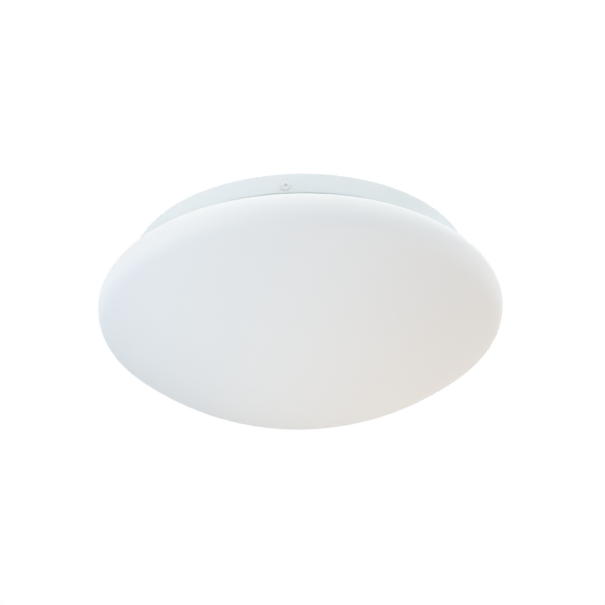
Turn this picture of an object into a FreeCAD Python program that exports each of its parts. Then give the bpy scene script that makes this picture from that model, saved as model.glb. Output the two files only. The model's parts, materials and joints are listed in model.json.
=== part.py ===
"""Flush mount ceiling light: a white steel pan that carries an opal glass bowl and two lamps.

Millimetres. +Z is up. The origin is the centre of the pan's ceiling face, so the light hangs below it.
The clip screw that the room sees faces -Y. Both lamps lie along X, side by side and pointing apart.
"""
import FreeCAD, Part
import math
import os
import re

import Sketcher

from FreeCAD import Placement, Rotation, Vector

# Driving dimensions: alias, value, meaning.
SIZES = [
    ("shade_diameter", 350, "widest diameter of the glass"),
    ("shade_depth", 80, "from the glass's widest line down to its lowest point"),
    ("shade_shoulder", 24, "radius of the rounded edge of the glass, seen in section"),
    ("shade_slope", 18, "slope of the glass above its rounded edge, in degrees"),
    ("shade_wall", 4, "thickness of the glass"),
    ("lip_width", 4, "how far the rolled lip stands out from the glass's neck"),
    ("lip_height", 6, "height of the rolled lip"),
    ("lip_round", 1, "rounding of the lip's lower corner, which rests on the clips"),
    ("lip_clearance", 1.3, "radial gap between the lip and each clip's spring leg"),
    ("neck_round", 3, "rounding where the neck meets the shoulder"),
    ("pan_diameter", 296, "outside diameter of the steel pan"),
    ("pan_depth", 19.2, "height of the pan's wall"),
    ("pan_sheet", 0.8, "thickness of the pan's sheet steel"),
    ("pan_corner", 2.5, "outside rounding between the pan's top and wall"),
    ("pan_flange", 3, "width of the pan's turned-in lower edge"),
    ("rim_gap", 4.6, "gap between the pan's lower edge and the glass under it"),
    ("well_land", 8, "flat land between the groove and the edge of the dished middle"),
    ("well_drop", 3, "depth of the dished middle, which clears the screw tips"),
    ("well_ramp", 5, "width of the slope round the dished middle"),
    ("ridge_diameter", 176, "diameter of the stiffening groove pressed into the dished middle"),
    ("ridge_width", 6, "width of the stiffening groove at its top"),
    ("ridge_depth", 1.6, "depth of the stiffening groove"),
    ("box_slot_spacing", 88.9, "spacing of the two ceiling box slots"),
    ("joist_slot_spacing", 150, "spacing of the two outer ceiling slots"),
    ("slot_length", 12, "length of each ceiling slot, end to end"),
    ("slot_width", 5.2, "width of each ceiling slot"),
    ("cable_bore", 9, "hole through the rubber bush, for the supply cable"),
    ("bush_wall", 3, "rubber between the cable and the pan's hole"),
    ("bush_flange", 3, "how far each flange of the bush overlaps the pan"),
    ("bush_flange_sheet", 1.6, "thickness of each flange of the bush"),
    ("clip_drop", 13, "the clip screws' distance below the ceiling"),
    ("clip_width", 12, "width of each spring clip"),
    ("clip_sheet", 0.5, "thickness of the spring strip"),
    ("clip_headroom", 2.4, "gap between a clip's top bend and the pan"),
    ("clip_bend", 2.6, "inside radius of a clip's top bend"),
    ("clip_foot_tail", 4.6, "how far the clip's foot runs below its screw"),
    ("clip_leg", 9, "height of the spring leg, from the top bend's crown to the nose's ramp"),
    ("nose_reach", 3.8, "how far the nose reaches inwards, under the lip"),
    ("nose_ramp", 4, "height of the ramp that the lip rests on"),
    ("nose_tail", 3.2, "height of the flared tail below the nose"),
    ("tail_return", 2.6, "how far the tail flares back outwards"),
    ("nose_bend", 1.2, "radius of the nose's bends"),
    ("seat_gap", 0.05, "gap between pressed parts that seat on each other"),
    ("clip_screw_thread", 4, "thread diameter of the clip screws"),
    ("screw_chamfer", 0.5, "chamfer at a screw's tip"),
    ("clip_screw_head", 8, "head diameter of the clip screws"),
    ("clip_screw_head_height", 2.6, "head height of the clip screws"),
    ("clip_screw_length", 4.4, "length of the clip screws under the head"),
    ("clip_nut_width", 7, "width across the flats of the clip nuts"),
    ("clip_nut_height", 2.2, "height of the clip nuts"),
    ("recess_span", 4.2, "span of a screw's cross recess"),
    ("recess_slot", 1.1, "width of a cross recess's slots"),
    ("recess_depth", 1.4, "depth of a cross recess"),
    ("thread_gap", 0.03, "gap round a screw in its thread"),
    ("hole_gap", 0.15, "gap round a screw in a plain hole"),
    ("small_thread", 3, "thread diameter of the inner screws"),
    ("small_head", 5.6, "head diameter of the inner screws"),
    ("small_head_height", 2, "head height of the inner screws"),
    ("lamp_drop", 48, "the lamp axes' distance below the ceiling"),
    ("lamp_offset", 34, "each lamp axis's distance from the middle"),
    ("holder_back", 15, "how far each holder's back lies behind the middle"),
    ("bracket_sheet", 1, "thickness of the holder brackets"),
    ("bracket_width", 26, "width of the holder brackets"),
    ("bracket_foot", 24, "length of a bracket's foot"),
    ("bracket_below", 15, "how far a bracket runs below the lamp's axis"),
    ("bracket_bend", 1.5, "inside radius of a bracket's bend"),
    ("bracket_end_round", 8, "rounding of a bracket's lower corners"),
    ("foot_screw_at", 12, "distance of the foot screws from the holder's back"),
    ("foot_screw_spread", 16, "spacing of the two foot screws"),
    ("foot_screw_length", 4, "length of the foot screws under the head"),
    ("holder_screw_spread", 18, "spacing of the two screws in a holder's back"),
    ("holder_screw_length", 7, "length of the holder screws under the head"),
    ("holder_length", 36, "length of the porcelain holders"),
    ("holder_back_radius", 19, "radius of a holder at its back"),
    ("holder_mouth_radius", 20, "radius of a holder at its mouth"),
    ("holder_floor", 9, "thickness of a holder's back"),
    ("shell_bore", 26.9, "inside diameter of a holder's screw shell"),
    ("shell_sheet", 0.5, "thickness of the screw shell"),
    ("shell_length", 24, "length of the screw shell"),
    ("shell_floor_hole", 16, "hole in the screw shell's floor"),
    ("wire_hole_at", 4.5, "distance of the wire holes from a holder's back"),
    ("wire_hole_inner", 5, "the inner wire holes' distance from the lamp axis"),
    ("wire_hole_outer", 11, "the outer wire holes' distance from the lamp axis"),
    ("wire_hole_floor", 9, "height of the wire holes' floor above the lamp axis"),
    ("contact_sheet", 0.4, "thickness of the centre contact's brass strip"),
    ("contact_width", 5, "width of the centre contact"),
    ("contact_rise", 2.6, "how far the centre contact stands up from the holder's floor"),
    ("contact_gap", 0.2, "gap between the centre contact and the lamp's tip"),
    ("lamp_cap", 26.2, "diameter of a lamp's screw cap"),
    ("lamp_cap_taper", 2, "width of the slanted edge at the cap's end"),
    ("lamp_cap_length", 22, "length of a lamp's screw cap"),
    ("lamp_cap_sheet", 0.5, "thickness of a lamp's screw cap"),
    ("lamp_tip", 9.2, "diameter of a lamp's tip contact"),
    ("lamp_tip_height", 1.4, "height of a lamp's tip contact"),
    ("lamp_insulator", 3.4, "height of the glass insulator between tip and cap"),
    ("lamp_collar", 18.5, "length of a lamp's plastic body beyond its cap"),
    ("lamp_globe", 45, "diameter of a lamp's globe"),
    ("lamp_globe_wall", 1.2, "thickness of a lamp's globe"),
    ("lamp_globe_cut", 10, "distance from the globe's centre to its mouth"),
    ("lamp_wall", 1.5, "thickness of a lamp's plastic body"),
    ("lamp_body_step", 0.6, "how far a lamp's plastic body stands out from its cap"),
    ("insulator_step", 1, "how far the glass insulator stands out from the lamp's tip contact"),
    ("block_x", 50, "the terminal block's middle, along X"),
    ("block_width", 18, "the terminal block's width, along the wires"),
    ("block_height", 15, "the terminal block's height"),
    ("pole_pitch", 10, "spacing of the terminal block's three poles"),
    ("block_end", 8, "distance from an outer pole to the terminal block's end"),
    ("pole_drop", 8, "the wire holes' distance below the pan"),
    ("insert_diameter", 6, "outside diameter of the brass inserts"),
    ("insert_bore", 3.2, "bore of the brass inserts"),
    ("insert_length", 14, "length of the brass inserts"),
    ("terminal_screw_spread", 8, "spacing of the two screws of a pole"),
    ("wire_diameter", 2.2, "outside diameter of the inner wires"),
    ("wire_lead", 3.3, "straight run of a wire outside the terminal block"),
    ("wire_in_pole", 7, "length of wire inside the terminal block"),
    ("wire_in_holder", 8, "length of wire inside a holder"),
    ("window_gap", 3.5, "room round the wires in a bracket's window"),
    ("upper_wire_drop", 8.5, "the upper link wire's distance below the ceiling"),
    ("lower_wire_drop", 12.5, "the lower link wire's distance below the ceiling"),
    ("earth_x", 28, "the earth screw's place along X"),
    ("earth_land", 8.2, "room between the toothed washer and the stiffening groove"),
    ("earth_head", 7.2, "diameter of the earth screw's head"),
    ("earth_ring", 9, "outside diameter of the earth ring terminal"),
    ("earth_sheet", 0.8, "thickness of the earth ring terminal"),
    ("earth_barrel_at", 6, "distance from the earth screw to the ring terminal's barrel"),
    ("earth_barrel", 6, "length of the ring terminal's barrel"),
    ("earth_washer", 8.4, "outside diameter of the toothed washer"),
    ("earth_washer_sheet", 0.5, "thickness of the toothed washer"),
    ("washer_tooth", 1, "depth of the washer's teeth"),
]

CLIPS = 3  # spring clips round the pan
POLES = (-1, 0, 1)  # live, neutral and earth
WASHER_TEETH = 10
SIDES = (-1, 1)
HALF_TURN = 0.0001  # a half circle's radius is this much over half its chord, so that it stays one arc
FRONT = -90  # degrees from +X to the clip that the room sees
TWO_LAMPS = (("right", 1, 0), ("left", -1, 180))  # name, sign of X and -Y, turn about Z in degrees

# Sizes that follow from the driving ones, as expressions of the sheet's aliases.
PAN_R = "(pan_diameter/2)"
WALL_R = "(pan_diameter/2 - pan_sheet)"
PLATE_TOP = "(-well_drop)"
PLATE = "(-well_drop - pan_sheet)"  # underside of the dished middle
RIDGE_IN = "(ridge_diameter/2 - ridge_width/2)"
RIDGE_OUT = "(ridge_diameter/2 + ridge_width/2)"
EARTH_Y = f"sqrt(({RIDGE_IN} - earth_washer/2 - earth_land)^2 - earth_x^2)"  # the earth screw's place along Y
FOOT_R = f"(sqrt({WALL_R}^2 - (clip_width/2)^2) - seat_gap)"  # outer face of a clip's foot
LEG_R = f"({FOOT_R} - clip_sheet/2 - 2*(clip_bend + clip_sheet/2))"  # middle of a clip's spring leg
CROWN = "(-pan_sheet - clip_headroom - clip_sheet/2)"
RAMP_TOP = f"({CROWN} - clip_leg)"
LIP_R = f"({LEG_R} - clip_sheet/2 - lip_clearance)"
NECK_R = f"({LIP_R} - lip_width)"
LIP_BOTTOM = f"({RAMP_TOP} - ({LEG_R} - {LIP_R})*nose_ramp/nose_reach)"
LIP_TOP = f"({LIP_BOTTOM} + lip_height)"
SHADE_R = "(shade_diameter/2)"
SHOULDER_R = f"({SHADE_R} - shade_shoulder)"  # middle of the shoulder's rounding
SLOPE_R = f"({SHOULDER_R} + shade_shoulder*sin(shade_slope))"  # where the slope starts
SLOPE_RISE = f"(shade_shoulder*cos(shade_slope) + ({SLOPE_R} - {PAN_R})*tan(shade_slope))"
WIDEST = f"(-pan_depth - rim_gap - {SLOPE_RISE})"  # height of the glass's widest line
DOME = f"((shade_depth^2 - shade_shoulder^2 + {SHOULDER_R}^2)/(2*(shade_depth - shade_shoulder)))"
SHELL_R = "(shell_bore/2 + shell_sheet)"
LAMP_START = "(holder_floor + contact_rise + contact_gap + contact_sheet/2)"  # a lamp's tip
CAP_START = f"({LAMP_START} + lamp_tip_height + lamp_insulator)"
CAP_END = f"({CAP_START} + lamp_cap_length)"
COLLAR_END = f"({CAP_END} + lamp_collar)"
GLOBE_MIDDLE = f"({COLLAR_END} + lamp_globe_cut)"
GLOBE_MOUTH = "sqrt((lamp_globe/2)^2 - lamp_globe_cut^2)"
GLOBE_MOUTH_IN = "sqrt((lamp_globe/2 - lamp_globe_wall)^2 - lamp_globe_cut^2)"
BLOCK_Y = "(lamp_offset - wire_hole_inner + pole_pitch)"  # the terminal block's middle
POLE_Z = f"({PLATE} - seat_gap - pole_drop)"  # axes of the terminal block's wire holes
HOLDER_TOP = "(holder_back_radius - (holder_back_radius - holder_mouth_radius)*wire_hole_at/holder_length)"

doc = FreeCAD.newDocument("ceiling_light")
sheet = doc.addObject("Spreadsheet::Sheet", "sizes")
for row, (alias, number, meaning) in enumerate(SIZES, start=1):
    sheet.set(f"A{row}", meaning)
    sheet.set(f"B{row}", str(number))
    sheet.setAlias(f"B{row}", alias)
doc.recompute()

ALIASES = {alias for alias, _, _ in SIZES}
subparts = []


def size(expression):
    """What an expression of the sheet's aliases comes to, in millimetres."""
    return float(sheet.evalExpression(str(expression)))


def bound(expression):
    """The same expression, as an object outside the sheet writes it."""
    return re.sub(r"[a-z][a-z_]+", lambda m: f"sizes.{m[0]}" if m[0] in ALIASES else m[0], str(expression))


def start_body(label):
    body = doc.addObject("PartDesign::Body", label)
    body.Label = label
    subparts.append(body)
    return body


def place(piece, base, turn=0):
    """Puts a piece at base, three expressions, turned about Z by turn degrees."""
    piece.Placement = Placement(Vector(*(size(b) for b in base)), Rotation(Vector(0, 0, 1), turn))
    for axis, expression in zip("xyz", base):
        piece.setExpression(f"Placement.Base.{axis}", bound(expression))


def origin_part(body, role):
    return next(f for f in body.Origin.OriginFeatures if f.Role == role)


def start_sketch(body, plane, name, offset="0"):
    """A sketch on one of the body's own planes, moved along the plane's normal by offset."""
    sketch = body.newObject("Sketcher::SketchObject", name)
    sketch.AttachmentSupport = [(origin_part(body, plane), "")]
    sketch.MapMode = "FlatFace"
    sketch.AttachmentOffset = Placement(Vector(0, 0, size(offset)), Rotation())
    sketch.setExpression("AttachmentOffset.Base.z", bound(offset))
    return sketch


def constrain(sketch, *what, by=None):
    """Adds a constraint. by is the expression that its value is bound to."""
    if by is None:
        return sketch.addConstraint(Sketcher.Constraint(*what))
    index = sketch.addConstraint(Sketcher.Constraint(*what, size(by)))
    sketch.setExpression(f"Constraints[{index}]", bound(by))
    return index


def pin(sketch, geometry, point, x, y):
    """Fixes one point of a sketch at two expressions."""
    constrain(sketch, "DistanceX", -1, 1, geometry, point, by=x)
    constrain(sketch, "DistanceY", -1, 1, geometry, point, by=y)


def circle(sketch, x, y, radius):
    index = sketch.addGeometry(Part.Circle(Vector(size(x), size(y), 0), Vector(0, 0, 1), size(radius)), False)
    constrain(sketch, "Radius", index, by=radius)
    pin(sketch, index, 3, x, y)


def arc_between(start, end, radius, left):
    """The short arc from start to end, whose middle lies left or right of the way there."""
    chord = end - start
    half = chord.Length / 2
    side = Vector(-chord.y, chord.x, 0).normalize() * (1 if left else -1)
    centre = (start + end) / 2 + side * math.sqrt(max(radius**2 - half**2, 0))
    middle = centre - side * radius
    return Part.Arc(start, middle, end)


def path(sketch, corners, closed=True):
    """Draws runs between corners: (x, y), (x, y, rounding) or (x, y, None, radius, side).

    The last form starts an arc of that radius to the next corner, its middle on that side of the way.
    """
    points = [Vector(size(c[0]), size(c[1]), 0) for c in corners]
    count = len(corners)
    edges = count if closed else count - 1
    rounding = [size(c[2]) if len(c) > 2 and c[2] is not None else 0 for c in corners]
    trims = []
    for i, point in enumerate(points):
        if not rounding[i]:
            trims.append(0)
            continue
        before = (points[i - 1] - point).normalize()
        after = (points[(i + 1) % count] - point).normalize()
        half_angle = before.getAngle(after) / 2
        trims.append(rounding[i] / math.tan(half_angle))
    ends = []  # for each edge: its geometry, start point and end point
    for i in range(edges):
        j = (i + 1) % count
        if len(corners[i]) > 3:
            left = corners[i][4] == "left"
            curve = arc_between(points[i], points[j], size(corners[i][3]), left)
            index = sketch.addGeometry(curve, False)
            constrain(sketch, "Radius", index, by=corners[i][3])
            ends.append((index, 1, 2) if left else (index, 2, 1))
            continue
        way = (points[j] - points[i]).normalize()
        line = Part.LineSegment(points[i] + way * trims[i], points[j] - way * trims[j])
        ends.append((sketch.addGeometry(line, False), 1, 2))
    for i in range(count):
        before = ends[i - 1] if closed or i > 0 else None
        after = ends[i] if i < edges else None
        if before and after and rounding[i]:
            start = points[i] + (points[i - 1] - points[i]).normalize() * trims[i]
            end = points[i] + (points[(i + 1) % count] - points[i]).normalize() * trims[i]
            left = (points[i] - points[i - 1]).cross(points[(i + 1) % count] - points[i]).z > 0
            index = sketch.addGeometry(arc_between(start, end, rounding[i], left), False)
            first, second = (1, 2) if left else (2, 1)
            constrain(sketch, "Tangent", before[0], before[2], index, first)
            constrain(sketch, "Tangent", index, second, after[0], after[1])
            constrain(sketch, "Radius", index, by=corners[i][2])
            corner = sketch.addGeometry(Part.Point(points[i]), True)
            pin(sketch, corner, 1, corners[i][0], corners[i][1])
            constrain(sketch, "PointOnObject", corner, 1, before[0])
            constrain(sketch, "PointOnObject", corner, 1, after[0])
            continue
        if before and after:
            constrain(sketch, "Coincident", before[0], before[2], after[0], after[1])
        at = (after[0], after[1]) if after else (before[0], before[2])
        pin(sketch, at[0], at[1], corners[i][0], corners[i][1])


def revolve(body, corners, axis="V_Axis", name="turned"):
    """Turns a closed outline in the XZ plane about Z, or about X where axis is H_Axis."""
    sketch = start_sketch(body, "XZ_Plane", f"{name}_outline")
    path(sketch, corners)
    feature = body.newObject("PartDesign::Revolution", name)
    feature.Profile = sketch
    feature.ReferenceAxis = (sketch, [axis])
    feature.Angle = 360
    return feature


def pad(body, sketch, length, name, symmetric=False, back=False):
    feature = body.newObject("PartDesign::Pad", name)
    feature.Profile = sketch
    feature.Length = size(length)
    feature.setExpression("Length", bound(length))
    feature.SideType = "Symmetric" if symmetric else "One side"
    feature.Reversed = back
    return feature


def pocket(body, sketch, length, name, symmetric=False, back=False):
    """Cuts a sketch away, against its normal, or along it where back is set."""
    doc.recompute()
    before = body.Shape.Volume
    feature = body.newObject("PartDesign::Pocket", name)
    feature.Profile = sketch
    feature.Length = size(length)
    feature.setExpression("Length", bound(length))
    feature.SideType = "Symmetric" if symmetric else "One side"
    feature.Reversed = back
    doc.recompute()
    if feature.Shape.Volume > before - 1e-4:
        raise RuntimeError(f"{body.Label}: {name} cuts nothing")
    return feature


def polar(body, features, count, axis="Z_Axis", name="pattern"):
    feature = body.newObject("PartDesign::PolarPattern", name)
    feature.Originals = features
    feature.Axis = (origin_part(body, axis), [""])
    feature.Angle = 360
    feature.Occurrences = count
    body.Tip = feature
    return feature


def round_edges(body, base, wanted, radius, name="rounded"):
    """Fillets the edges of the base feature whose middle the wanted function picks."""
    doc.recompute()
    picked = [
        f"Edge{i}"
        for i, edge in enumerate(base.Shape.Edges, start=1)
        if wanted(edge.CenterOfMass, edge)
    ]
    feature = body.newObject("PartDesign::Fillet", name)
    feature.Base = (base, picked)
    feature.Radius = size(radius)
    feature.setExpression("Radius", bound(radius))
    return feature


def cross_recess(body, plane, top, name, back=False, span="recess_span", slot="recess_slot"):
    """A cross cut into a screw's head, whose top is top along the plane's normal."""
    sketch = start_sketch(body, plane, f"{name}_outline", top)
    arm, half = f"({span}/2)", f"({slot}/2)"
    quarter = [(arm, half), (half, half), (half, arm)]
    corners = []
    for turn in range(4):
        for x, y in quarter:
            for _ in range(turn):
                x, y = f"(-{y})", x
            corners.append((x, y))
    path(sketch, corners)
    return pocket(body, sketch, "recess_depth", name, back=back)


# ---------------------------------------------------------------- the pan


def make_pan():
    """The pressed steel pan: a dished top, a stiffening groove, a wall and a turned-in lower edge."""
    body = start_body("ceiling_pan")
    hole = "(cable_bore/2 + bush_wall)"
    groove = f"({PLATE_TOP} - ridge_depth)"
    well = f"({RIDGE_OUT} + well_land)"
    sheet_in = "(pan_corner - pan_sheet)"
    revolve(
        body,
        [
            (hole, PLATE_TOP),
            (RIDGE_IN, PLATE_TOP),
            (f"{RIDGE_IN} + ridge_width/4", groove),
            (f"{RIDGE_OUT} - ridge_width/4", groove),
            (RIDGE_OUT, PLATE_TOP),
            (well, PLATE_TOP, "pan_corner"),
            (f"{well} + well_ramp", "0", "pan_corner"),
            (PAN_R, "0", "pan_corner"),
            (PAN_R, "-pan_depth", "pan_sheet + seat_gap"),
            (f"{PAN_R} - pan_flange", "-pan_depth"),
            (f"{PAN_R} - pan_flange", "-pan_depth + pan_sheet"),
            (WALL_R, "-pan_depth + pan_sheet"),
            (WALL_R, "-pan_sheet", sheet_in),
            (f"{well} + well_ramp", "-pan_sheet", sheet_in),
            (well, PLATE, sheet_in),
            (RIDGE_OUT, PLATE),
            (f"{RIDGE_OUT} - ridge_width/4", f"{groove} - pan_sheet"),
            (f"{RIDGE_IN} + ridge_width/4", f"{groove} - pan_sheet"),
            (RIDGE_IN, PLATE),
            (hole, PLATE),
        ],
        name="pressing",
    )
    fixing = start_sketch(body, "XY_Plane", "ceiling_slots_outline")
    flat = "((slot_length - slot_width)/2)"
    half = "(slot_width/2)"
    for side in SIDES:
        middle = f"({side}*box_slot_spacing/2)"
        path(
            fixing,
            [
                (f"{middle} - {flat}", f"-{half}"),
                (f"{middle} + {flat}", f"-{half}", None, f"{half} + {HALF_TURN}", "left"),
                (f"{middle} + {flat}", half),
                (f"{middle} - {flat}", half, None, f"{half} + {HALF_TURN}", "left"),
            ],
        )
        middle = f"({side}*joist_slot_spacing/2)"
        path(
            fixing,
            [
                (half, f"{middle} - {flat}"),
                (half, f"{middle} + {flat}", None, f"{half} + {HALF_TURN}", "left"),
                (f"-{half}", f"{middle} + {flat}"),
                (f"-{half}", f"{middle} - {flat}", None, f"{half} + {HALF_TURN}", "left"),
            ],
        )
    pocket(body, fixing, "2*pan_depth", "ceiling_slots", symmetric=True)
    drilled = start_sketch(body, "XY_Plane", "screw_holes_outline")
    for x, y in foot_screw_places() + block_screw_places():
        circle(drilled, x, y, "small_thread/2 + thread_gap")
    circle(drilled, "earth_x", EARTH_Y, "clip_screw_thread/2 + thread_gap")
    pocket(body, drilled, "2*pan_depth", "screw_holes", symmetric=True)
    side_hole = start_sketch(body, "XZ_Plane", "clip_hole_outline")
    circle(side_hole, "0", "-clip_drop", "clip_screw_thread/2 + hole_gap")
    first = pocket(body, side_hole, f"{PAN_R} + pan_sheet", "clip_hole", back=True)
    polar(body, [first], CLIPS, name="clip_holes")


def make_cable_bush():
    """The rubber bush in the pan's middle, grooved round the edge of the hole."""
    body = start_body("cable_bush")
    bore = "(cable_bore/2)"
    groove = "(cable_bore/2 + bush_wall - seat_gap)"
    flange = "(cable_bore/2 + bush_wall + bush_flange)"
    top, under = f"({PLATE_TOP} + seat_gap)", f"({PLATE} - seat_gap)"
    revolve(
        body,
        [
            (bore, f"{top} + bush_flange_sheet"),
            (bore, f"{under} - bush_flange_sheet"),
            (flange, f"{under} - bush_flange_sheet", "bush_flange_sheet/3"),
            (flange, under),
            (groove, under),
            (groove, top),
            (flange, top),
            (flange, f"{top} + bush_flange_sheet", "bush_flange_sheet/3"),
        ],
        name="bush",
    )


# ---------------------------------------------------------------- the glass


def make_shade():
    """The blown opal bowl: a dome, a rounded shoulder, a slope and a short neck with a rolled lip.

    The dome, the shoulder and the slope are tangent, and the inside is the outside moved in by the wall.
    """
    body = start_body("glass_shade")
    between = f"({DOME} - shade_shoulder)"  # from the dome's middle to the shoulder's
    dome_middle = f"({WIDEST} - shade_depth + {DOME})"
    rise = f"({DOME} - shade_depth)"

    def joint(radius):
        """Where an arc of this radius about the dome's middle meets the shoulder's arc."""
        return f"({radius}*{SHOULDER_R}/{between})", f"({dome_middle} - {radius}*{rise}/{between})"

    def slope(radius, neck):
        """The slope's two ends on a shoulder arc of this radius: at the arc and at the neck."""
        x = f"({SHOULDER_R} + {radius}*sin(shade_slope))"
        z = f"({WIDEST} + {radius}*cos(shade_slope))"
        return (x, z), (neck, f"({z} + ({x} - {neck})*tan(shade_slope))", "neck_round")

    inner_dome = f"({DOME} - shade_wall)"
    inner_shoulder = "(shade_shoulder - shade_wall)"
    neck_in = f"({NECK_R} - shade_wall)"
    inner_slope, inner_neck = slope(inner_shoulder, neck_in)
    revolve(
        body,
        [
            ("0", f"{WIDEST} - shade_depth", None, DOME, "left"),
            (*joint(DOME), None, "shade_shoulder", "left"),
            (SHADE_R, WIDEST, None, "shade_shoulder", "left"),
            *slope("shade_shoulder", NECK_R),
            (NECK_R, LIP_BOTTOM, "lip_round"),
            (LIP_R, LIP_BOTTOM, "lip_round"),
            (LIP_R, LIP_TOP, "lip_height/3"),
            (neck_in, LIP_TOP, "shade_wall/3"),
            inner_neck,
            (*inner_slope, None, inner_shoulder, "right"),
            (f"{SHADE_R} - shade_wall", WIDEST, None, inner_shoulder, "right"),
            (*joint(inner_dome), None, inner_dome, "right"),
            ("0", f"{WIDEST} - shade_depth + shade_wall"),
        ],
        name="bowl",
    )


# ---------------------------------------------------------------- the spring clips


def make_clip(number):
    """A bent steel strip: a foot on the pan's wall, a bend over and a spring leg with a nose."""
    body = start_body(f"spring_clip_{number}")
    foot = f"({FOOT_R} - clip_sheet/2)"
    foot_end = "(-clip_drop - clip_foot_tail)"
    bend = "(clip_bend + clip_sheet/2)"
    line = start_sketch(body, "XZ_Plane", "strip_line")
    path(
        line,
        [
            (foot, foot_end),
            (foot, f"{CROWN} - {bend}", None, bend, "left"),
            (f"{foot} - {bend}", CROWN, None, bend, "left"),
            (LEG_R, f"{CROWN} - {bend}"),
            (LEG_R, RAMP_TOP, "nose_bend"),
            (f"{LEG_R} - nose_reach", f"{RAMP_TOP} - nose_ramp", "nose_bend"),
            (f"{LEG_R} - nose_reach + tail_return", f"{RAMP_TOP} - nose_ramp - nose_tail"),
        ],
        closed=False,
    )
    section = start_sketch(body, "XY_Plane", "strip_section", foot_end)
    near, far, half = FOOT_R, f"({FOOT_R} - clip_sheet)", "(clip_width/2)"
    path(section, [(near, f"-{half}"), (near, half), (far, half), (far, f"-{half}")])
    strip = body.newObject("PartDesign::AdditivePipe", "strip")
    strip.Profile = section
    strip.Spine = line
    hole = start_sketch(body, "YZ_Plane", "screw_hole_outline", FOOT_R + " + clip_sheet")
    circle(hole, "0", "-clip_drop", "clip_screw_thread/2 + hole_gap")
    pocket(body, hole, "3*clip_sheet", "screw_hole")
    body.Placement = Placement(Vector(), Rotation(Vector(0, 0, 1), FRONT + (number - 1) * 360 / CLIPS))


def make_clip_screws():
    """The three pan head screws that hold the clips, each with a domed head and a cross recess."""
    body = start_body("clip_screws")
    seat = f"({PAN_R} + seat_gap)"
    top = f"({seat} + clip_screw_head_height)"
    shank = "(clip_screw_thread/2)"
    head = "(clip_screw_head/2)"
    screw = revolve(
        body,
        [
            (f"{seat} - clip_screw_length", "0"),
            (f"{seat} - clip_screw_length", f"{shank} - screw_chamfer"),
            (f"{seat} - clip_screw_length + screw_chamfer", shank),
            (seat, shank),
            (seat, head),
            (f"{seat} + clip_screw_head_height/3", head, None, "clip_screw_head*3/4", "right"),
            (top, f"{head}/2"),
            (top, "0"),
        ],
        axis="H_Axis",
        name="screw",
    )
    recess = cross_recess(body, "YZ_Plane", top, "recess")
    polar(body, [screw, recess], CLIPS)
    place(body, ("0", "0", "-clip_drop"), FRONT)


def make_clip_nuts():
    """The three hexagon nuts behind the clips' feet."""
    body = start_body("clip_nuts")
    sketch = start_sketch(body, "YZ_Plane", "nut_outline", f"{FOOT_R} - clip_sheet - seat_gap")
    corner = "(clip_nut_width/sqrt(3))"
    turns = [math.radians(60 * i) for i in range(6)]
    path(sketch, [(f"{corner}*{math.cos(t):.6f}", f"{corner}*{math.sin(t):.6f}") for t in turns])
    circle(sketch, "0", "0", "clip_screw_thread/2 + thread_gap")
    nut = pad(body, sketch, "clip_nut_height", "nut", back=True)
    polar(body, [nut], CLIPS)
    place(body, ("0", "0", "-clip_drop"), FRONT)


# ---------------------------------------------------------------- the lamp holders


def at_lamp(body, sign, turn):
    """Puts a piece in a lamp's own frame: its origin is the holder's back, and +X is its axis."""
    place(body, (f"{-sign}*holder_back", f"{-sign}*lamp_offset", "-lamp_drop"), turn)


def foot_screw_places():
    """The four holes of the two brackets, in the pan."""
    places = []
    for _, sign, _ in TWO_LAMPS:
        for side in SIDES:
            x = f"({sign}*(foot_screw_at - holder_back))"
            y = f"({-sign}*lamp_offset + {side}*foot_screw_spread/2)"
            places.append((x, y))
    return places


def make_bracket(name, sign, turn):
    """An angle of sheet steel from the pan down behind the holder."""
    body = start_body(f"{name}_holder_bracket")
    top = f"(lamp_drop + {PLATE} - seat_gap)"
    outline = start_sketch(body, "XZ_Plane", "angle_outline")
    path(
        outline,
        [
            ("-seat_gap", "-bracket_below"),
            ("-seat_gap", f"{top} - bracket_sheet", "bracket_bend"),
            ("bracket_foot", f"{top} - bracket_sheet"),
            ("bracket_foot", top),
            ("-seat_gap - bracket_sheet", top, "bracket_bend + bracket_sheet"),
            ("-seat_gap - bracket_sheet", "-bracket_below"),
        ],
    )
    angle = pad(body, outline, "bracket_width", "angle", symmetric=True)
    low, half = size("-bracket_below"), size("bracket_width/2")

    def lower_corner(at, edge):
        return abs(at.z - low) < 0.01 and abs(abs(at.y) - half) < 0.01

    round_edges(body, angle, lower_corner, "bracket_end_round")
    back_holes = start_sketch(body, "YZ_Plane", "back_holes_outline")
    foot_holes = start_sketch(body, "XY_Plane", "foot_holes_outline", top)
    for side in SIDES:
        circle(back_holes, f"{side}*holder_screw_spread/2", "0", "small_thread/2 + hole_gap")
        circle(foot_holes, "foot_screw_at", f"{side}*foot_screw_spread/2", "small_thread/2 + hole_gap")
    pocket(body, back_holes, "3*bracket_sheet", "back_holes")
    pocket(body, foot_holes, "3*bracket_sheet", "foot_holes")
    window = start_sketch(body, "YZ_Plane", "wire_window_outline")
    across, high = "(wire_hole_inner + wire_diameter/2 + window_gap)", "(wire_diameter/2 + window_gap)"
    middle = f"(lamp_drop + {POLE_Z})"
    path(
        window,
        [
            (f"-{across}", f"{middle} - {high}", "window_gap/2"),
            (across, f"{middle} - {high}", "window_gap/2"),
            (across, f"{middle} + {high}", "window_gap/2"),
            (f"-{across}", f"{middle} + {high}", "window_gap/2"),
        ],
    )
    pocket(body, window, "3*bracket_sheet", "wire_window")
    at_lamp(body, sign, turn)


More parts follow.
